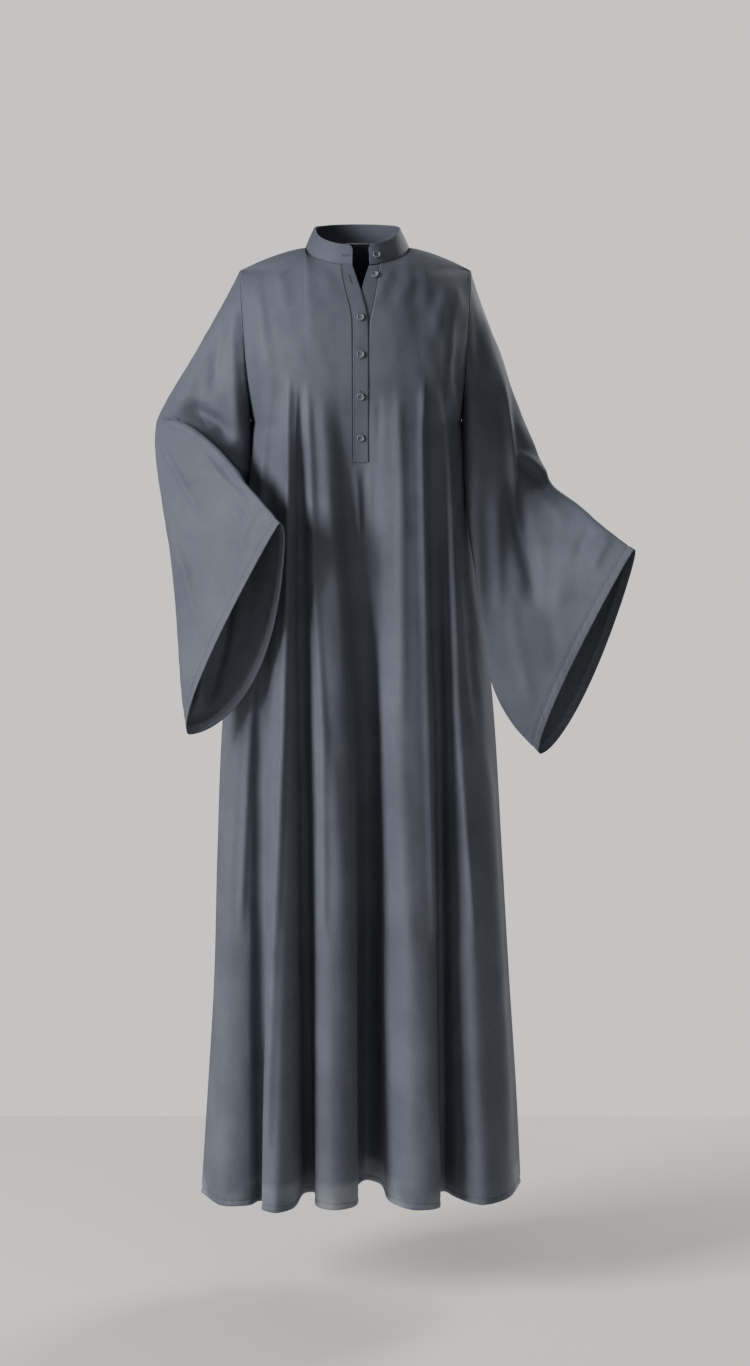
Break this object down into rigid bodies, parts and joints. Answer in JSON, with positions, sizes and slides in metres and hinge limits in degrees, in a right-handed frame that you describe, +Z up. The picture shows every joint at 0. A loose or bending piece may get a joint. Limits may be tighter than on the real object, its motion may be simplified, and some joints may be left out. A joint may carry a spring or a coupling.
{
  "type": "abaya",
  "caption": "Long loose robe with a stand collar, part-open button placket, wide bell sleeves and a flared, deeply folded skirt, in hollow worn form.",
  "frame": {"origin": "middle of the neck base, midway between the two shoulder seams at the neck, where a neck form would hold the garment", "axes": "+Z up out of the collar, -Y the wearer's front, -X the wearer's right side"},
  "size_m": [0.7148, 0.3893, 1.4867],
  "materials": {
    "cloth": "matte grey-blue crepe",
    "strip": "matte grey-blue crepe, doubled and interfaced",
    "button": "satin grey-blue resin"
  },
  "bodies": {
    "root": {"front_panel": "cloth", "back_panel": "cloth", "sleeve_right": "cloth", "sleeve_left": "cloth", "collar_band": "strip", "placket_over": "strip", "placket_under": "strip", "button_1": "button", "button_2": "button", "button_3": "button", "button_4": "button", "button_neck": "button", "button_collar": "button"}
  },
  "joints": []
}
